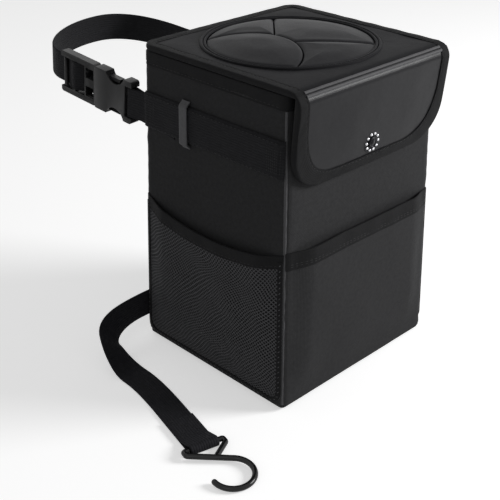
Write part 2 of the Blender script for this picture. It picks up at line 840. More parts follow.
class BIN_OT_camera(bpy.types.Operator):
    """Puts the camera where the photograph was taken from"""
    bl_idname = "trash_bin.camera"
    bl_label = "Camera"

    def execute(self, context):
        azimuth, elevation = math.radians(CAMERA_AZIMUTH), math.radians(CAMERA_ELEVATION)
        back = Vector((math.sin(azimuth) * math.cos(elevation),
                       -math.cos(azimuth) * math.cos(elevation), math.sin(elevation)))
        right = Vector((math.cos(azimuth), math.sin(azimuth), 0))
        up = back.cross(right)
        aim = Vector((0, 0, AIM_Z)) - AIM_LEFT * right - AIM_DOWN * up
        data = bpy.data.cameras.new("Camera")
        data.lens = CAMERA_LENS
        data.sensor_width = CAMERA_SENSOR
        camera = bpy.data.objects.new("Camera", data)
        context.scene.collection.objects.link(camera)
        camera.matrix_world = Matrix.Translation(aim + CAMERA_DISTANCE * back) @ Matrix(
            (right, up, back)).transposed().to_4x4()
        context.scene.camera = camera
        return {"FINISHED"}


class BIN_OT_walls(bpy.types.Operator):
    """Makes the four cloth walls and the piping in the corner seams"""
    bl_idname = "trash_bin.walls"
    bl_label = "Walls"

    def execute(self, context):
        wrinkle = sizes().wrinkle / MM
        z0, z1 = BASE_SEAM_H, BIN_H - TAPE_T
        for name, turn in (("front", FRONT), ("back", BACK), ("left", LEFT), ("right", RIGHT)):
            def place(s, t, turn=turn):
                z = lerp(z0, z1, t)
                half = skin_half(turn, z)
                u = (2 * s - 1) * half
                seam = math.exp(-(half - abs(u)) / 5)
                off = wrinkle * wave(u, z, 55, turn) * (1 - seam)
                off += 0.3 * ease((half - abs(u)) / 30) - 0.25 * seam * (1 + wave(z, u, 7, turn))
                return skin(turn, u, z, min(off, 0.6))

            def measure(s, t, turn=turn):
                z = lerp(z0, z1, t)
                return (2 * s - 1) * skin_half(turn, z), z

            bm = cloth_grid(92, 100, place, measure)
            finish_piece(bm, f"{name}_wall_cloth", "Coated polyester", "bin", [f"{name}_panel"],
                         thick=CLOTH_T - 0.3)
        k = CORNER_R - (CORNER_R - PIPING_R + PIPING_PROUD) / math.sqrt(2)
        for name, sx, sy in (("front_left", -1, -1), ("front_right", 1, -1),
                             ("back_left", -1, 1), ("back_right", 1, 1)):
            points = []
            for z in spread(BASE_R, BIN_H - RIM_TAPE_H - 0.5, 160):
                sway = 0.18 * wave(z, 0, 9, sx + 2 * sy)
                points.append(Vector((sx * (half_w(z) - k + sway), sy * (half_d(z) - k + sway), z)))
            bm = sweep(round_section(PIPING_R, 14), tube_stations(points))
            finish_piece(bm, f"{name}_welt", "Corner piping", "bin", [f"piping_{name}"])
        return {"FINISHED"}


class BIN_OT_front_pocket(bpy.types.Operator):
    """Makes the front pocket and the tape over its top"""
    bl_idname = "trash_bin.front_pocket"
    bl_label = "Front Pocket"

    def execute(self, context):
        top = POCKET_H - TAPE_T
        wrinkle = sizes().wrinkle / MM

        def depth(x, z):
            to_side, to_foot = seam_half(FRONT, z) - abs(x), z - POCKET_FOOT_H
            edge = ease(min(to_side, to_foot) / 16)
            d = pillow(to_side, to_foot) + edge * 1.1 * wrinkle * wave(x, z * 0.6, 42, 1.0)
            folds = math.exp(-to_side / 13) * wave(z, x * 0.4, 11, 5.0)
            return max(d + 0.4 * edge * folds, 0.2)

        def spot(s, t):
            z = lerp(POCKET_FOOT_H, top, t)
            return (2 * s - 1) * seam_half(FRONT, z), z

        def place(s, t):
            x, z = spot(s, t)
            return skin(FRONT, x, z, depth(x, z))

        bm = cloth_grid(110, 84, place, spot)
        finish_piece(bm, "front_pocket_cloth", "Coated polyester", "bin", ["front_pocket"],
                     thick=POCKET_T)
        half = seam_half(FRONT, POCKET_H)
        bm = folded_tape(half, lambda x: POCKET_H, depth, FRONT, POCKET_TAPE_H, POCKET_T)
        finish_piece(bm, "front_pocket_tape", "Binding tape", "bin", ["front_pocket_binding"],
                     thick=TAPE_T * 0.8)
        rows = []
        for drop in (1.6, 3.4):
            z = POCKET_H - POCKET_TAPE_H + drop
            line = [skin(FRONT, x, z, depth(x, z) + TAPE_T - 0.1)
                    for x in spread(-half + 3, half - 3, 80)]
            rows += stitch_row(line, Vector((0, -1, 0)))
        sew("front_pocket_stitches", "Sewing thread", "bin", rows)
        return {"FINISHED"}


class BIN_OT_mesh_pockets(bpy.types.Operator):
    """Makes the two mesh pockets, with their holes, hems and sewn edges"""
    bl_idname = "trash_bin.mesh_pockets"
    bl_label = "Mesh Pockets"

    def execute(self, context):
        half = seam_half(LEFT, MESH_H)
        foot = POCKET_FOOT_H
        corner = MESH_CORNER_R
        cell = sizes().mesh_cell / MM

        def top_at(x):
            return MESH_H - MESH_SAG * (1 - (x / half) ** 2)

        def half_at(z):
            low = clamp(corner - (z - foot), 0, corner)
            return seam_half(LEFT, z) - corner + math.sqrt(max(corner ** 2 - low ** 2, 0.0))

        def depth(x, z):
            inside = min(half_at(z) - abs(x), z - foot)
            d = pillow(half_at(z) - abs(x), z - foot) + 0.3
            return d + 0.45 * wave(x, z, 30, 9.0) * ease(inside / 20)

        def spot(s, t):
            z = lerp(foot, top_at((2 * s - 1) * half) - TAPE_T, t)
            return (2 * s - 1) * half_at(z), z

        def place(s, t):
            x, z = spot(s, t)
            return skin(LEFT, x, z, depth(x, z))

        for name, flip in (("left", False), ("right", True)):
            wide, tall = 2 * half, MESH_H - foot
            bm = bmesh.new()
            bmesh.ops.create_grid(bm, x_segments=round(wide / cell), y_segments=round(tall / cell),
                                  size=0.5)
            bmesh.ops.scale(bm, vec=(wide, tall, 1), verts=bm.verts)
            square_edges = [e for e in bm.edges if not e.is_boundary]
            bmesh.ops.poke(bm, faces=bm.faces)
            bmesh.ops.dissolve_edges(bm, edges=square_edges, use_verts=False)
            holes = list(bm.faces)
            bmesh.ops.inset_individual(bm, faces=holes, thickness=sizes().mesh_thread / MM / 2)
            bmesh.ops.delete(bm, geom=holes, context="FACES")
            layer = bm.loops.layers.uv.new("UVMap")
            for face in bm.faces:
                for loop in face.loops:
                    loop[layer].uv = loop.vert.co.xy * MM
            for vert in bm.verts:
                x, y = vert.co.xy
                calm = ease(min(wide / 2 - abs(x), tall / 2 - abs(y)) / 20)
                x += 2.6 * calm * wave(x, y, 27, 31.0)
                y += 2.6 * calm * wave(x, y, 33, 47.0)
                vert.co = place(clamp(x / wide + 0.5), clamp(y / tall + 0.5))
            finish_piece(bm, f"{name}_pocket_mesh", "Knitted mesh", "bin",
                         [f"{name}_mesh_pocket"], thick=0.6, flip=flip)

            bm = folded_tape(half, top_at, lambda x, z: depth(x, z) - 0.3, LEFT,
                             MESH_TAPE_H, MESH_T)
            finish_piece(bm, f"{name}_mesh_hem", "Binding tape", "bin",
                         [f"{name}_mesh_binding"], thick=TAPE_T * 0.8, flip=flip)

            # The mesh's sewn edge: down one side, round the corners and up the other.
            low = seam_half(LEFT, foot + corner)
            side = [Vector((seam_half(LEFT, z), z))
                    for z in range(int(foot + corner) + 3, int(MESH_H) - 3, 3)]
            edge = [Vector((-p.x, p.y)) for p in reversed(side)]
            edge += arc((corner - low, foot + corner), corner, 180, 270, 12)
            edge += [Vector((x, foot)) for x in spread(corner - low, low - corner, 30)[1:-1]]
            edge += arc((low - corner, foot + corner), corner, 270, 360, 12) + side
            line, ins = [], []
            for i, p in enumerate(edge):
                h = heading(edge, i)
                ins.append(Vector((-h.y, h.x)))
                line.append(p + 2.2 * ins[-1])
            stations = []
            for p, n in zip(line, ins):
                middle = skin(LEFT, p.x, p.y, 0.9)
                up = (skin(LEFT, p.x, p.y, 1.9) - middle).normalized()
                along = Vector((0, -n.x, n.y))
                stations.append((middle, (along - along.dot(up) * up).normalized(), up))
            bm = sweep(web_section(4.4, 1.2, 4), stations)
            finish_piece(bm, f"{name}_mesh_edge", "Binding tape", "bin", flip=flip)
            rows = stitch_row([s[0] + 0.65 * s[2] for s in stations], [s[2] for s in stations],
                              2.2, 2.4)
            slanted = [(p, side, up, (way + 0.8 * side).normalized(), length)
                       for p, side, up, way, length in rows]
            slanted = [(p, way.cross(up).normalized(), up, way, length)
                       for p, side, up, way, length in slanted]
            sew(f"{name}_edge_stitches", "Overlock thread", "bin", slanted, 0.3, flip)
            line = []
            for x in spread(-half + 3, half - 3, 80):
                z = top_at(x) - MESH_TAPE_H + 1.2
                line.append(skin(LEFT, x, z, depth(x, z) + TAPE_T - 0.35))
            rows = stitch_row(line, Vector((-1, 0, 0)))
            sew(f"{name}_hem_stitches", "Sewing thread", "bin", rows, flip=flip)
        return {"FINISHED"}


class BIN_OT_bands(bpy.types.Operator):
    """Makes the bands and keeper loops sewn on the side walls"""
    bl_idname = "trash_bin.bands"
    bl_label = "Bands"

    def execute(self, context):
        wall = wall_frame(LEFT)
        out = wall.to_3x3() @ Vector((0, -1, 0))
        half = seam_half(LEFT, BAND_Z)

        def band_depth(x, h):
            edge = ease((BAND_W / 2 - abs(h)) / 1.6)
            end = ease((half - abs(x)) / 3.0)
            d = 0.5 + (BAND_OUT - 0.5) * min(0.35 + 0.65 * edge, 0.45 + 0.55 * end)
            return d + 0.12 * wave(x, h, 14, 2.0)

        for name, flip in (("left", False), ("right", True)):
            def place(s, t):
                x, h = (2 * s - 1) * half, (2 * t - 1) * BAND_W / 2
                return skin(LEFT, x, BAND_Z + h, band_depth(x, h))

            bm = cloth_grid(88, 26, place, lambda s, t: (t * BAND_W, (2 * s - 1) * half))
            finish_piece(bm, f"{name}_side_band", "Ribbed webbing", "bin", [f"{name}_band"],
                         thick=WEB_T * 0.6, flip=flip)

            def over(s, t):
                h = (2 * t - 1) * KEEPER_H / 2
                x = -KEEPER_X + (2 * s - 1) * KEEPER_W / 2
                step = ease((KEEPER_H / 2 - abs(h)) / 4.2)
                edge = ease((KEEPER_W / 2 - abs(x + KEEPER_X)) / 1.0)
                d = 1.5 + (BAND_OUT + 0.25) * step + 0.25 * edge
                return wall @ Vector((x, -d, BAND_Z + h))

            bm = cloth_grid(14, 46, over, lambda s, t: (s * KEEPER_W, t * KEEPER_H))
            finish_piece(bm, f"{name}_keeper_loop", "Keeper tape", "bin", [f"{name}_keeper"],
                         thick=WEB_T * 0.8, flip=flip)

            rows = []
            for h in (-BAND_W / 2 + 1.9, BAND_W / 2 - 1.9):
                line = [skin(LEFT, x, BAND_Z + h, band_depth(x, h) + 0.05)
                        for x in spread(-half + 2, half - 2, 60)]
                rows += stitch_row(line, out)
            for end in (-1, 1):
                for k in range(7):
                    x = end * (half - 2.2 - 1.9 * k)
                    line = [skin(LEFT, x, BAND_Z + h, band_depth(x, h) + 0.05)
                            for h in spread(-10, 10, 24)]
                    rows += stitch_row(line, out, *TACK)
            for side in (-1, 1):
                x = -KEEPER_X
                for k in range(2):
                    h = side * (KEEPER_H / 2 - 1.2 - 1.4 * k)
                    line = [wall @ Vector((x + dx, -1.75 - 1.3 * k, BAND_Z + h))
                            for dx in spread(-3, 3, 10)]
                    rows += stitch_row(line, out, *TACK)
            sew(f"{name}_band_stitches", "Sewing thread", "bin", rows, flip=flip)
        return {"FINISHED"}


def outline(half_x, y0, y1, front_r, back_r, steps=10):
    """The lid's outline, counter-clockwise from its front left corner."""
    pts = arc((half_x - front_r, y0 + front_r), front_r, 270, 360, steps)
    pts += [Vector((half_x, y)) for y in spread(y0 + front_r, y1 - back_r, 30)[1:-1]]
    pts += arc((half_x - back_r, y1 - back_r), back_r, 0, 90, steps)
    pts += [Vector((x, y1)) for x in spread(half_x - back_r, back_r - half_x, 30)[1:-1]]
    pts += arc((back_r - half_x, y1 - back_r), back_r, 90, 180, steps)
    pts += [Vector((-half_x, y)) for y in spread(y1 - back_r, y0 + front_r, 30)[1:-1]]
    pts += arc((front_r - half_x, y0 + front_r), front_r, 180, 270, steps)
    return pts


def inward(points, i):
    h = heading(points, i)
    return Vector((-h.y, h.x))


class BIN_OT_rim(bpy.types.Operator):
    """Makes the tape folded over the bin's rim"""
    bl_idname = "trash_bin.rim"
    bl_label = "Rim"

    def execute(self, context):
        path = [(TAPE_T, BIN_H - RIM_TAPE_H + i) for i in range(10)]
        path += [(TAPE_T - 1.0 + math.cos(math.radians(a)), BIN_H - 1.0 + math.sin(math.radians(a)))
                 for a in range(10, 91, 20)]
        inner = -WALL_T - TAPE_T
        path += [(inner + 1.0 - math.sin(math.radians(a)), BIN_H - 1.0 + math.cos(math.radians(a)))
                 for a in range(0, 91, 30)]
        path += [(inner, BIN_H - RIM_TAPE_H * i / 5) for i in range(1, 6)]
        run = lengths([Vector(p) for p in path])
        per_wall = 60
        stops = []
        for turn in (FRONT, RIGHT, BACK, LEFT):
            half = skin_half(turn, BIN_H)
            stops += [(turn, u) for u in spread(-half, half, per_wall)[:-1]]
        stops.append(stops[0])
        columns, rows = len(stops) - 1, len(path) - 1

        def place(s, t):
            turn, u = stops[round(s * columns)]
            off, z = path[round(t * rows)]
            ripple = 0.16 * wave(u, z, 12, turn + 0.5) if off > 0 else 0.0
            press = 0.3 * bell(z - BIN_H + RIM_TAPE_H - RIM_STITCH_UP, 0.7) if off > 0 else 0.0
            return skin(turn, u, z, max(off + ripple - press, -CORNER_R + 0.3))

        bm = cloth_grid(columns, rows, place, lambda s, t: (s * 640, run[round(t * rows)]))
        bmesh.ops.remove_doubles(bm, verts=bm.verts, dist=1e-4)
        finish_piece(bm, "rim_tape", "Binding tape", "bin", ["rim_binding"], thick=TAPE_T * 0.9)
        rows = []
        for turn in (FRONT, RIGHT, BACK, LEFT):
            half = skin_half(turn, BIN_H) - 2
            z = BIN_H - RIM_TAPE_H + RIM_STITCH_UP
            us = spread(-half, half, 80)
            line = [skin(turn, u, z, TAPE_T - 0.1) for u in us]
            ups = [(skin(turn, u, z, 2) - skin(turn, u, z, 0)).normalized() for u in us]
            rows += stitch_row(line, ups)
        wall = wall_frame(BACK)
        for h in (2.0, 10.5, 24.0):
            line = [wall @ Vector((x, -2 * TAPE_T - 0.05, BIN_H - h))
                    for x in spread(-70, 70, 40)]
            rows += stitch_row(line, wall.to_3x3() @ Vector((0, -1, 0)))
        sew("rim_stitches", "Sewing thread", "bin", rows)
        return {"FINISHED"}


def roll_drop(y):
    """How far the lid's top has rolled down at y."""
    ahead = clamp(ROLL_Y - y, 0, ROLL_R)
    return ROLL_R - math.sqrt(ROLL_R ** 2 - ahead ** 2)


def on_roll(x, turn, out):
    """A point of the roll, turn degrees round it from its top."""
    a = math.radians(turn)
    return Vector((x, ROLL_Y - (ROLL_R + out) * math.sin(a), ROLL_Z + (ROLL_R + out) * math.cos(a)))


class BIN_OT_lid(bpy.types.Operator):
    """Makes the lid's cloth, its binding, the ring and the crease"""
    bl_idname = "trash_bin.lid"
    bl_label = "Lid"

    def execute(self, context):
        up = Vector((0, 0, 1))
        edge = outline(LID_W / 2 - TAPE_T, TAPE_T - LID_FRONT, LID_BACK - TAPE_T,
                       LID_FRONT_R, LID_CORNER_R - TAPE_T)
        angles = [math.atan2(p.y, p.x) for p in edge]
        start = angles.index(min(angles))
        edge = edge[start:] + edge[:start] + [edge[start]]
        columns, rows = len(edge) - 1, 22

        def place(s, t):
            rim = edge[round(s * columns)]
            hole = rim.normalized() * OPENING_R
            p = hole.lerp(rim, t)
            gap = min(LID_W / 2 - abs(p.x), LID_BACK - p.y)
            z = LID_TOP - 0.9 * math.exp(-gap / 3.0)
            z += 0.5 * math.sin(math.pi * t) + 0.3 * wave(p.x, p.y, 35, 4.0) * math.sin(math.pi * t)
            return Vector((p.x, p.y, z - roll_drop(p.y)))

        bm = cloth_grid(columns, rows, place, lambda s, t: tuple(
            (edge[round(s * columns)].normalized() * OPENING_R).lerp(edge[round(s * columns)], t)))
        bmesh.ops.remove_doubles(bm, verts=bm.verts, dist=1e-4)
        turn_outwards(bm, up)
        finish_piece(bm, "lid_top_cloth", "Lid top cloth", "lid", ["lid_panel"],
                     thick=LID_CLOTH_T)

        # The binding's section, as (distance in from the edge, height).
        high, low = LID_TOP + TAPE_T, LID_Z
        path = [(LID_TAPE_W - i * 0.9, high) for i in range(9)]
        middle = (high + low) / 2
        bend = (high - low) / 2
        path += [(LID_EDGE_R - LID_EDGE_R * math.sin(math.radians(a)),
                  middle + bend * math.cos(math.radians(a))) for a in range(15, 180, 15)]
        path += [(LID_EDGE_R + (LID_TAPE_W - LID_EDGE_R) * i / 5, low) for i in range(6)]
        run = lengths([Vector(p) for p in path])
        sides = outline(LID_W / 2, -LID_FRONT, LID_BACK, LID_FRONT_R, LID_CORNER_R)
        first = next(i for i, p in enumerate(sides) if p.x > 0 and p.y >= LID_FRONT_R - LID_FRONT)
        last = max(i for i, p in enumerate(sides) if p.x < 0 and p.y >= LID_FRONT_R - LID_FRONT)
        corner = Vector((LID_W / 2, -LID_FRONT))
        strip = [corner] + sides[first:last + 1] + [Vector((-corner.x, corner.y))]
        ins = [inward(strip, i) for i in range(len(strip))]
        ins[0], ins[-1] = Vector((-1, 0)), Vector((1, 0))
        along = lengths(strip)
        columns, rows = len(strip) - 1, len(path) - 1

        def bind(s, t):
            i = round(s * columns)
            d, z = path[round(t * rows)]
            p = strip[i] + d * ins[i]
            if t < 0.5:
                z += 0.15 * wave(along[i], d, 11, 6.0) - 0.3 * bell(d - LID_STITCH_IN, 0.7)
            z -= roll_drop(p.y) * (z - low) / (high - low)
            return Vector((p.x, p.y, z))

        bm = cloth_grid(columns, rows, bind,
                        lambda s, t: (run[round(t * rows)], along[round(s * columns)]))
        turn_outwards(bm, up, lambda middle: middle.z > high - 0.4)
        finish_piece(bm, "lid_tape", "Binding tape", "lid", ["lid_binding"], thick=TAPE_T * 0.9)

        # Two cords in the ring's rolled cloth, with a groove between them.
        for name, radius, cord, nodes in (("outer", 68.6, 1.45, ["ring_piping"]),
                                          ("inner", 65.9, 1.25, [])):
            points = [Vector((radius * math.cos(a), radius * math.sin(a),
                              LID_TOP + 0.35 + 0.08 * wave(a * 60, 0, 8, radius)))
                      for a in full_circle(192)]
            stations = [(p, Vector((p.x, p.y, 0)).normalized(), up) for p in points]
            bm = sweep(round_section(cord, 12), stations, ring=True)
            finish_piece(bm, f"ring_{name}_cord", "Lid top cloth", "lid", nodes)
        half = LID_W / 2 - FLAP_TAPE_W + 0.6
        for name, turn, radius, body, nodes in (("lid", FOLD_TURN - 17, 1.25, "lid", []),
                                                ("flap", FOLD_TURN, 1.35, "flap", ["crease_piping"])):
            points = [on_roll(x, turn, 0.12 * wave(x, 0, 16, turn) - 0.1)
                      for x in spread(-half, half, 150)]
            bm = sweep(round_section(radius, 14), tube_stations(points))
            finish_piece(bm, f"crease_{name}_cord", "Fold piping", body, nodes)

        line = [Vector((p.x, p.y, high - roll_drop(p.y) - 0.1)) + LID_STITCH_IN * n.to_3d()
                for p, n in zip(strip, ins)]
        rows = stitch_row(line, up)
        ring = [Vector((RING_STITCH_R * math.cos(a), RING_STITCH_R * math.sin(a), LID_TOP + 0.3))
                for a in full_circle(180) + [2 * math.pi]]
        rows += stitch_row(ring, up)
        sew("lid_stitches", "Sewing thread", "lid", rows)
        return {"FINISHED"}


def disc_room(x, y):
    return OPENING_R - PETAL_SLIT / 2 - math.hypot(x, y)


def leaf_room(x, y):
    return LEAF_R - math.hypot(x - LEAF_X + LEAF_R, y)


def right_room(x, y, shift=0.0):
    high = ((x - WEDGE_X + shift) - (y + WEDGE_Y)) / math.sqrt(2)
    low = (WEDGE_DROP * (x - WEDGE_X + shift) + (y + WEDGE_Y)) / math.hypot(1, WEDGE_DROP)
    return min(high, low)


def petal_room(name, x, y):
    """How far a point lies inside a petal's outline."""
    if name == "left":
        return min(disc_room(x, y), leaf_room(x, y))
    leaf_slit = WEDGE_SLIT if name == "back" else PETAL_SLIT
    room = min(disc_room(x, y), -leaf_room(x, y) - leaf_slit)
    if name == "right":
        return min(room, right_room(x, y))
    side = 1 if name == "back" else -1
    slit = PETAL_SLIT if name == "back" else WEDGE_SLIT
    return min(room, side * (y + WEDGE_Y), -right_room(x, y, slit * math.sqrt(2)))


def dome(x, y):
    return PETAL_BASE + PETAL_CROWN * (1 - (x * x + y * y) / OPENING_R ** 2)


class BIN_OT_petals(bpy.types.Operator):
    """Makes the four padded petals of the opening"""
    bl_idname = "trash_bin.petals"
    bl_label = "Petals"

    def execute(self, context):
        puff = sizes().petal_puff / MM
        around, steps = 240, 30
        for name, cx, cy, lift in PETALS:
            rim = []
            for a in full_circle(around):
                low, high = 0.0, 140.0
                for _ in range(40):
                    r = (low + high) / 2
                    inside = petal_room(name, cx + r * math.cos(a), cy + r * math.sin(a)) > 0
                    low, high = (r, high) if inside else (low, r)
                rim.append(Vector((low * math.cos(a), low * math.sin(a))))
            rim.append(rim[0])

            def flat(s, t, rim=rim, cx=cx, cy=cy):
                out = 1 - abs(2 * t - 1)
                return Vector((cx, cy)) + rim[round(s * around)] * (1 - (1 - out) ** 2.2)

            def place(s, t, name=name, lift=lift):
                p = flat(s, t)
                room = max(petal_room(name, p.x, p.y), 0.0)
                if abs(t - 0.5) < 1e-6:
                    room = 0.0
                swell = puff * rounded_step(room / PETAL_EDGE_W)
                z = dome(p.x, p.y) - PETAL_SINK + lift
                if t <= 0.5:
                    z += swell + 1.3 * ease(1.4 * abs(2 * t - 1) ** 2.2)
                    z += 0.14 * wave(p.x, p.y, 20, 7.0) * ease(room / 8)
                else:
                    z -= swell * 0.9
                return Vector((p.x, p.y, z))

            bm = cloth_grid(around, 2 * steps, place, lambda s, t: tuple(flat(s, t)))
            close_up(bm)
            obj = finish_piece(bm, f"{name}_petal", "Padded petal cloth", "lid", [f"petal_{name}"],
                               sharp=60)
        return {"FINISHED"}


def flap_path(side_steps=40):
    """The flap's edge from its top left corner, down, along and up, with distances in."""
    half, r = LID_W / 2, FLAP_CORNER_R
    top = -0.4
    pts = [Vector((-half, z)) for z in spread(top, r - FLAP_LEN, side_steps)[:-1]]
    pts += arc((r - half, r - FLAP_LEN), r, 180, 270, 30)
    pts += [Vector((x, -FLAP_LEN)) for x in spread(r - half, half - r, 40)[1:-1]]
    pts += arc((half - r, r - FLAP_LEN), r, 270, 360, 30)
    pts += [Vector((half, z)) for z in spread(r - FLAP_LEN, top, side_steps)[1:]]
    return pts


def flap_inner(side_steps=40):
    """The inner edge of the flap's tape, point for point with flap_path: wider round the corners."""
    half, hem = LID_W / 2, FLAP_HEM_W - FLAP_LEN
    knee = Vector((FLAP_TAPE_W + 1.2 - half, -30))
    foot = Vector((FLAP_CORNER_R + 14 - half, hem))
    top = Vector((FLAP_TAPE_W - half, -0.4))
    pts = [top.lerp(knee, i / side_steps) for i in range(side_steps)] + [knee]
    pts += bezier_run(knee, knee + Vector((3, -22)), foot + Vector((-22, 1)), foot, 30)
    pts += [Vector((x, hem)) for x in spread(foot.x, 0, 20)[1:]]
    return pts + [Vector((-p.x, p.y)) for p in reversed(pts[:-1])]


def flap_bow(x, z):
    """How far the flap's cloth stands forward of its flat place: it starts on the lid's roll."""
    height = max(CREASE_Z + z - ROLL_Z, 0.0)
    roll = math.sqrt(max(ROLL_R ** 2 - height ** 2, 0)) - ROLL_Y - LID_FRONT - FLAP_T / 2
    roll -= math.sin(FLAP_LEAN) * min(z, 0)
    below = clamp((ROLL_Z - CREASE_Z - z) / (FLAP_LEN + ROLL_Z - CREASE_Z))
    full = ROLL_R - ROLL_Y - LID_FRONT - FLAP_T / 2 + math.sin(FLAP_LEAN) * (CREASE_Z - ROLL_Z)
    if below > 0:
        roll = full * (1 - below ** 2)
    bow = sizes().flap_bow / MM * math.sin(math.pi * below) * (1 - (x / 90) ** 2)
    return roll + bow + 0.22 * wave(x, z, 38, 8.0) * ease(below * 4)


class BIN_OT_flap(bpy.types.Operator):
    """Makes the flap's cloth and the tape round its edge"""
    bl_idname = "trash_bin.flap"
    bl_label = "Flap"

    def execute(self, context):
        turn = flap_frame()
        half, r = LID_W / 2 - TAPE_T, FLAP_CORNER_R - TAPE_T
        bottom = TAPE_T - FLAP_LEN
        levels = spread(-2.0, -12, 14)[:-1] + spread(-12, bottom + r, 24)[:-1]
        levels += [bottom + r * (1 - math.cos(math.radians(a))) for a in range(90, -1, -5)]
        rows, columns = len(levels) - 1, 90

        def spot(s, t):
            z = levels[round(t * rows)]
            low = clamp(r - (z - bottom), 0, r)
            return (2 * s - 1) * (half - r + math.sqrt(max(r * r - low * low, 0))), z

        def place(s, t):
            x, z = spot(s, t)
            return turn @ Vector((x, -FLAP_T / 2 - flap_bow(x, z), z))

        bm = cloth_grid(columns, rows, place, spot)
        bmesh.ops.reverse_faces(bm, faces=bm.faces)
        finish_piece(bm, "flap_cloth", "Smooth lid cloth", "flap", ["flap_panel"],
                     thick=FLAP_CLOTH_T)

        edge = flap_path()
        along = lengths(edge)
        inner = flap_inner()
        face = FLAP_T / 2 + TAPE_T
        path = [(1 - i / 12, 1) for i in range(12)] + [
            (0, math.cos(math.radians(a))) for a in range(0, 181, 20)] + [
            (i / 5, -1) for i in range(1, 6)]
        run = lengths([Vector((11 * a, face * b)) for a, b in path])
        columns, rows = len(edge) - 1, len(path) - 1

        def bind(s, t):
            i = round(s * columns)
            share, level = path[round(t * rows)]
            soft = 1.3 * (1 - math.sqrt(max(1 - level * level, 0))) if share == 0 else 1.3
            p = (edge[i] + soft * inward(edge, i)).lerp(inner[i], share)
            to_inner = (inner[i] - p).length
            y = -level * face - flap_bow(p.x, p.y) * (level + 1) / 2
            if level == 1:
                y -= 0.15 * wave(along[i], to_inner, 10, 12.0)
                y += 0.35 * bell(to_inner - FLAP_STITCH_IN, 0.7)
            return turn @ Vector((p.x, y, p.y))

        bm = cloth_grid(columns, rows, bind,
                        lambda s, t: (run[round(t * rows)], along[round(s * columns)]))
        turn_outwards(bm, Vector((0, -1, 0)), lambda middle: middle.y < -LID_FRONT - 1)
        finish_piece(bm, "flap_tape", "Binding tape", "flap", ["flap_binding"], thick=TAPE_T * 0.9)

        out = turn.to_3x3() @ Vector((0, -1, 0))
        line = []
        for p, within in zip(edge, inner):
            q = within + FLAP_STITCH_IN * (p - within).normalized()
            line.append(turn @ Vector((q.x, -face - flap_bow(q.x, q.y) + 0.15, q.y)))
        sew("flap_stitches", "Sewing thread", "flap", stitch_row(line, out))
        return {"FINISHED"}


class BIN_OT_snap(bpy.types.Operator):
    """Makes the magnetic snap's cap and its ring of beads"""
    bl_idname = "trash_bin.snap"
    bl_label = "Snap"

    def execute(self, context):
        def turned(profile, name, look, nodes):
            bm = bmesh.new()
            verts = [bm.verts.new((x, 0, z)) for x, z in profile]
            edges = [bm.edges.new(pair) for pair in zip(verts, verts[1:])]
            bmesh.ops.spin(bm, geom=verts + edges, cent=(0, 0, 0), axis=(0, 0, 1),
                           angle=2 * math.pi, steps=48, use_merge=True)
            bmesh.ops.remove_doubles(bm, verts=bm.verts, dist=1e-4)
            bmesh.ops.recalc_face_normals(bm, faces=bm.faces)
            bmesh.ops.transform(bm, matrix=snap_frame(), verts=bm.verts)
            bm.loops.layers.uv.new("UVMap")
            return finish_piece(bm, name, look, "flap", nodes, sharp=35)

        dish = [(0, 0.1), (CAP_R - 0.3, 0.1), (CAP_R, 0.4), (CAP_R, 1.0), (CAP_R - 0.25, 1.4),
                (CAP_R - 0.9, 1.55), (CAP_R - 2.0, 1.3), (4.6, 1.3), (4.4, 1.5), (4.4, 2.2), (0, 2.2)]
        turned(dish, "snap_dish", "Gunmetal plate", ["snap_cap"])
        knob = [(0, 2.0), (4.3, 2.0), (4.3, 2.5), (4.1, 2.9), (3.6, 3.2), (3.3, 3.1), (3.0, 2.85),
                (2.2, 3.1), (1.2, 3.45), (0, 3.6)]
        turned(knob, "snap_knob", "Gunmetal plate", [])
        bm = bmesh.new()
        bm.loops.layers.uv.new("UVMap")
        for a in full_circle(BEAD_COUNT):
            spot = Vector(((CAP_R - BEAD_R - 1) * math.cos(a), (CAP_R - BEAD_R - 1) * math.sin(a),
                           CAP_H / 2 + 0.15))
            bmesh.ops.create_uvsphere(
                bm, u_segments=sizes().bead_facets, v_segments=sizes().bead_facets // 2,
                radius=BEAD_R - 0.15, matrix=snap_frame() @ Matrix.Translation(spot))
        finish_piece(bm, "snap_bead_ring", "Nickel plate", "flap", ["snap_beads"], sharp=80)
        return {"FINISHED"}


class BIN_OT_buckle(bpy.types.Operator):
    """Softens the moulded edges of the buckle's two halves"""
    bl_idname = "trash_bin.buckle"
    bl_label = "Buckle"

    def execute(self, context):
        for node, name, body in (("buckle_socket", "socket_half", "bin"),
                                 ("buckle_plug", "plug_half", "buckle_plug")):
            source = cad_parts[node]
            bm = bmesh.new()
            bm.from_mesh(source.data)
            bmesh.ops.scale(bm, vec=(1 / MM, 1 / MM, 1 / MM), verts=bm.verts)
            bmesh.ops.remove_doubles(bm, verts=bm.verts, dist=1e-3)
            bmesh.ops.dissolve_limit(bm, angle_limit=math.radians(3), verts=bm.verts,
                                     edges=bm.edges, use_dissolve_boundaries=False)
            sharp = [e for e in bm.edges if len(e.link_faces) == 2
                     and e.calc_face_angle(0) > math.radians(38)]
            bmesh.ops.bevel(bm, geom=sharp, offset=BUCKLE_BEVEL, offset_type="OFFSET", segments=2,
                            profile=0.5, affect="EDGES", clamp_overlap=True, material=-1)
            bm.loops.layers.uv.verify()
            finish_piece(bm, name, "Moulded acetal", body, [node], sharp=30)
        return {"FINISHED"}


def loop_of(x, y):
    a = math.radians(BUCKLE_YAW)
    return Vector((x * math.cos(a) - y * math.sin(a) - STRAP_X,
                   x * math.sin(a) + y * math.cos(a) + BUCKLE_START, 0))


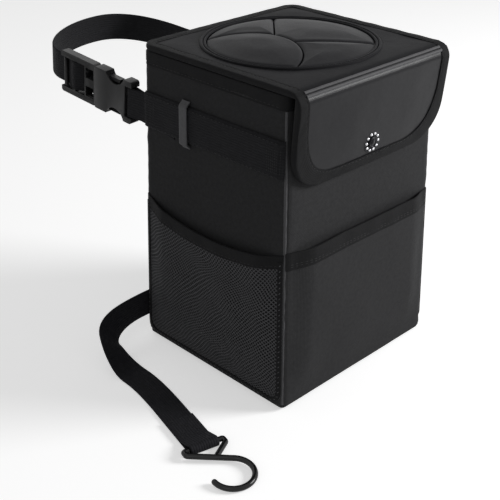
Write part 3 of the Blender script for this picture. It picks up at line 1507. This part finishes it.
def upper_run():
    """The long strap from the adjuster round behind the bin to the right band, in the loop's frame."""
    over = LADDER_BAR_R + PLY_GAP + WEB_T / 2
    start = [loop_of(TAIL_X, SHOULDER_END - 9), loop_of(TAIL_X, SHOULDER_END + WEB_T),
             loop_of(-over, MID_BAR_Y - LADDER_BAR_R), loop_of(-over, MID_BAR_Y),
             loop_of(-over, MID_BAR_Y + LADDER_BAR_R), loop_of(over, END_BAR_Y - LADDER_BAR_R),
             loop_of(over, LADDER_END)]
    out = loop_of(over, LADDER_END + 8)
    aim = loop_of(over, LADDER_END + 36) - out
    top, side, end = Vector((0, 164, 0)), Vector((43, 100, 0)), Vector((STRAP_X, 0, 0))
    rest = bezier_run(out, out + aim, top - Vector((41, 0, 0)), top, 28)
    rest += bezier_run(top, top + Vector((164 / 6, 0, 0)), side + Vector((-2, 41, 0)), side, 28)
    rest += bezier_run(side, side - Vector((-2, 50, 0)), end + Vector((0, 100 / 3, 0)), end, 28)
    for i, p in enumerate(rest):
        p.z -= STRAP_SAG * math.sin(math.pi * (i + 1) / len(rest)) ** 2
    return start + [out] + rest + [end - Vector((0, 2, 0)), end - Vector((0, 30, 0))]


def tail_run():
    """The lower strap's stations: off the back wall, twisting down to the floor, to the hook's eye."""
    leave = Vector((-half_w(TAIL_Z) + CORNER_R, half_d(TAIL_Z) + 0.4 + WEB_T / 2, TAIL_Z))
    bend = Vector((leave.x - 57, leave.y - 12, TAIL_Z - 11.5))
    floor = Vector((bend.x - 1, bend.y - 34, WEB_T / 2))
    turn = math.radians(HOOK_TURN)
    way = Vector((-math.sin(turn), -math.cos(turn), 0))
    bend_way = Vector((-0.31, -0.87, -0.38)).normalized()

    def at_bar(s, z):
        return Vector((HOOK_X, HOOK_Y, z)) + s * way

    end = at_bar(-PLY_LEN, WEB_T / 2)
    points = [leave + Vector((40, 0, 0)), leave + Vector((20, 0, 0)), leave]
    points += bezier_run(leave, leave + Vector((-24, 1, 0)), bend - 18 * bend_way, bend, 20)
    points += bezier_run(bend, bend + 13 * bend_way, floor + Vector((0, 16, 0)), floor, 16)
    points += bezier_run(floor, floor + Vector((0, -20, 0)), end - 22 * way, end, 16)
    free = len(points)
    eye_r = WIRE_R + 0.3 + WEB_T / 2
    eye_z = eye_r + WEB_T / 2
    ply_z = 1.5 * WEB_T + PLY_GAP
    slope = math.radians(EYE_SLOPE)
    run = (eye_z + eye_r * math.cos(slope) - ply_z) / math.sin(slope)
    points += [at_bar(-PLY_LEN * (1 - i / 8), WEB_T / 2) for i in range(1, 8)]
    for i in range(19):
        a = (math.pi + slope) * i / 18
        points.append(at_bar(eye_r * math.sin(a), eye_z - eye_r * math.cos(a)))
    foot = -eye_r * math.sin(slope) - run * math.cos(slope)
    points += [at_bar(s, ply_z) for s in spread(foot, -PLY_LEN, 2)]
    stations = []
    for i, p in enumerate(points):
        h = heading(points, i)
        toward = h if i < free else way
        level = Vector((toward.y, -toward.x, 0)).normalized()
        a = math.radians(90 * ease((i - 6) / 31))
        wide = math.cos(a) * level.cross(h) + math.sin(a) * level
        flat = h.cross(wide).normalized()
        need = TAIL_W / 2 * abs(wide.z) + WEB_T / 2 * abs(flat.z)
        stations.append((Vector((p.x, p.y, max(p.z, need))), wide, flat))
    return stations, way


class BIN_OT_straps(bpy.types.Operator):
    """Makes the three lengths of webbing"""
    bl_idname = "trash_bin.straps"
    bl_label = "Straps"

    def execute(self, context):
        place = loop_frame()
        across = place.to_3x3() @ Vector((0, 0, 1))
        points = [place @ p for p in finer(upper_run()[:9], 2) + upper_run()[9:]]
        bm = sweep(web_section(STRAP_W, WEB_T), flat_stations(points, across))
        finish_piece(bm, "long_strap", "Ribbed webbing", "bin", ["upper_strap"],
                     blend=("buckle_plug", "bin", (-0.060, 0, 0.21), (0.055, 0, 0.21)))

        # The short strap: from under the left band to the socket's bar and back.
        eye = BAR_R + PLY_GAP + WEB_T / 2
        centre = loop_of(0, BAR_Y)
        a = math.radians(BUCKLE_YAW)
        along, aside = Vector((-math.sin(a), math.cos(a), 0)), Vector((math.cos(a), math.sin(a), 0))
        points = [Vector((-STRAP_X, y, 0)) for y in (-40, -20, -3, 0)]
        for b in [math.radians(angle) for angle in spread(180, 10, 14)]:
            points.append(centre + eye * (math.cos(b) * aside + math.sin(b) * along))
        points += [Vector((-STRAP_X + WEB_T + PLY_GAP, y, 0)) for y in (1.5, -3)]
        bm = sweep(web_section(STRAP_W, WEB_T),
                   flat_stations([place @ p for p in points], across))
        finish_piece(bm, "short_strap", "Ribbed webbing", "bin", ["buckle_strap"])

        stations, way = tail_run()
        bm = sweep(web_section(TAIL_W, WEB_T), stations)
        finish_piece(bm, "hook_strap", "Faded webbing", "bin", ["lower_strap"])
        up = Vector((0, 0, 1))
        side = Vector((way.y, -way.x, 0))
        top = 2 * WEB_T + PLY_GAP + 0.1
        near, far = -PLY_LEN + 2, -17

        def spot(s, w):
            return Vector((HOOK_X, HOOK_Y, top)) + s * way + w * side

        box = [spot(near, -10), spot(near, 10), spot(far, 10), spot(far, -10), spot(near, -10),
               spot(far, 10), spot(far, -10), spot(near, 10)]
        rows = stitch_row(box, up)
        for k in range(3):
            x = -half_w(TAIL_Z) + CORNER_R + 6 + 2.2 * k
            y = half_d(TAIL_Z) + 0.4 + WEB_T + 0.1
            line = [Vector((x, y, TAIL_Z + h)) for h in spread(-10, 10, 20)]
            rows += stitch_row(line, Vector((0, 1, 0)), *TACK)
        sew("strap_stitches", "Sewing thread", "bin", rows)
        return {"FINISHED"}


class BIN_OT_hook(bpy.types.Operator):
    """Bends the hook from one length of dipped wire"""
    bl_idname = "trash_bin.hook"
    bl_label = "Hook"

    def execute(self, context):
        low_l, low_r = Vector((-BAR_LEN / 2, 0, 0)), Vector((BAR_LEN / 2, 0, 0))
        top_l, top_r = low_l + Vector((0, HOOK_BEND, 0)), low_r + Vector((0, HOOK_BEND, 0))
        a = math.radians(SHANK_ANGLE)
        shank = Vector((math.cos(a), math.sin(a), 0))
        join = top_l + SHANK_LEN * SHANK_JOIN * shank
        corners = [join, join.lerp(top_r, 0.5), top_r.lerp(join, 0.12), top_r, top_r.lerp(low_r, 0.5),
                   low_r, low_r + Vector((-3, 0, 0)), low_l + Vector((3, 0, 0)), low_l,
                   low_l.lerp(top_l, 0.5), top_l, top_l + 3 * shank]
        run = finer(corners, 3)
        run += [top_l.lerp(shank_end(), t) for t in (0.2, 0.35, 0.5, 0.65, 0.8, 0.93)]
        middle = bowl_middle()
        run += [Vector((p.x, p.y, 0)) for p in
                arc((middle.x, middle.y), BOWL_R, SHANK_ANGLE - 90, SHANK_ANGLE - 90 + BOWL_SWEEP, 60)]
        place = hook_frame()
        stops = tube_stations([place @ p for p in run])
        h = heading([s[0] for s in stops], len(stops) - 1)
        last = stops[-1]
        for k in range(1, 6):
            b = math.radians(16 * k)
            shrink = math.cos(b)
            stops.append((last[0] + WIRE_R * math.sin(b) * h, last[1] * shrink, last[2] * shrink))
        bm = sweep(round_section(WIRE_R, 16), stops)
        finish_piece(bm, "wire_hook", "Vinyl-dipped wire", "hook", ["hook"], sharp=60)
        return {"FINISHED"}


class BIN_OT_finishes(bpy.types.Operator):
    """Gives the carried-over solids their real finishes"""
    bl_idname = "trash_bin.finishes"
    bl_label = "Finishes"

    def execute(self, context):
        looks = {
            "base_panel": "Coated polyester, carried over",
            "hinge_tape": "Binding tape, carried over",
            "liner": "Film liner",
            "lid_lining": "Film liner",
            "flap_lining": "Film liner",
            "lid_board": "Stiffener board",
            "bin_magnet": "Nickel plate",
            "flap_magnet": "Nickel plate",
        }
        looks.update({f"{name}_board": "Stiffener board"
                      for name in ("front", "back", "left", "right", "base")})
        for node, look in looks.items():
            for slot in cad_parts[node].material_slots:
                slot.material = material(look)
        return {"FINISHED"}


def seen_ray(tree):
    """1 for what the camera sees, by itself, in a reflection or through glass, and 0 for light."""
    path = add(tree, "ShaderNodeLightPath")
    seen = path.outputs["Is Camera Ray"]
    for ray in ("Is Glossy Ray", "Is Transmission Ray"):
        both = {0: seen, 1: path.outputs[ray]}
        seen = add(tree, "ShaderNodeMath", both, operation="MAXIMUM").outputs[0]
    return seen


class BIN_OT_stage(bpy.types.Operator):
    """Sets the pale floor, the world and the soft lights"""
    bl_idname = "trash_bin.stage"
    bl_label = "Stage"

    def execute(self, context):
        bm = bmesh.new()
        bmesh.ops.create_grid(bm, x_segments=1, y_segments=1, size=FLOOR_SIZE)
        mesh = bpy.data.meshes.new("Floor")
        bm.to_mesh(mesh)
        bm.free()
        floor = bpy.data.objects.new("Floor", mesh)
        floor.location.z = FLOOR_Z
        context.scene.collection.objects.link(floor)
        paper = bpy.data.materials.new("White paper floor")
        paper.use_nodes = True
        tree = paper.node_tree
        tree.nodes.clear()
        matt = add(tree, "ShaderNodeBsdfDiffuse", {"Color": linear(colours().floor)})
        glow = add(tree, "ShaderNodeEmission", {"Color": (1, 1, 1, 1), "Strength": PAPER_GLOW})
        both = add(tree, "ShaderNodeAddShader", {0: matt.outputs[0], 1: glow.outputs[0]})
        mix = add(tree, "ShaderNodeMixShader", {
            0: seen_ray(tree), 1: matt.outputs[0], 2: both.outputs[0]})
        add(tree, "ShaderNodeOutputMaterial", {"Surface": mix.outputs[0]})
        mesh.materials.append(paper)

        world = bpy.data.worlds.new("Studio")
        context.scene.world = world
        world.use_nodes = True
        tree = world.node_tree
        tree.nodes.clear()
        air = add(tree, "ShaderNodeBackground", {"Color": (1, 1, 1, 1), "Strength": AIR_LIGHT})
        white = add(tree, "ShaderNodeBackground", {"Color": (1, 1, 1, 1), "Strength": 1.0})
        mix = add(tree, "ShaderNodeMixShader", {
            0: seen_ray(tree), 1: air.outputs[0], 2: white.outputs[0]})
        add(tree, "ShaderNodeOutputWorld", {"Surface": mix.outputs[0]})

        for name, spot, size, power in LAMPS:
            data = bpy.data.lights.new(name, "AREA")
            data.shape = "DISK"
            data.size = size
            data.energy = power
            lamp = bpy.data.objects.new(name, data)
            context.scene.collection.objects.link(lamp)
            lamp.location = spot
            lamp.rotation_euler = (LAMP_AIM - lamp.location).to_track_quat("-Z", "Y").to_euler()
        context.scene.view_settings.view_transform = "Standard"
        return {"FINISHED"}


class BIN_PT_panel(bpy.types.Panel):
    """Lists the steps and the sizes"""
    bl_idname = "BIN_PT_panel"
    bl_label = "Trash Bin"
    bl_space_type = "VIEW_3D"
    bl_region_type = "UI"
    bl_category = "Trash Bin"

    def draw(self, context):
        for step in STEPS:
            self.layout.operator(step.bl_idname)
        for group in (context.scene.bin_sizes, context.scene.bin_colours):
            box = self.layout.box()
            for name in group.__annotations__:
                box.prop(group, name)


STEPS = (BIN_OT_camera, BIN_OT_walls, BIN_OT_front_pocket, BIN_OT_mesh_pockets, BIN_OT_bands,
         BIN_OT_rim, BIN_OT_lid, BIN_OT_petals, BIN_OT_flap, BIN_OT_snap, BIN_OT_buckle,
         BIN_OT_straps, BIN_OT_hook, BIN_OT_finishes, BIN_OT_stage)
CLASSES = (BinSizes, BinColours) + STEPS + (BIN_PT_panel,)


def register():
    for item in CLASSES:
        bpy.utils.register_class(item)
    bpy.types.Scene.bin_sizes = PointerProperty(type=BinSizes)
    bpy.types.Scene.bin_colours = PointerProperty(type=BinColours)


def unregister():
    del bpy.types.Scene.bin_colours
    del bpy.types.Scene.bin_sizes
    for item in reversed(CLASSES):
        bpy.utils.unregister_class(item)


def main():
    register()
    for step in STEPS:
        group, name = step.bl_idname.split(".")
        getattr(getattr(bpy.ops, group), name)()


if __name__ == "__main__":
    main()
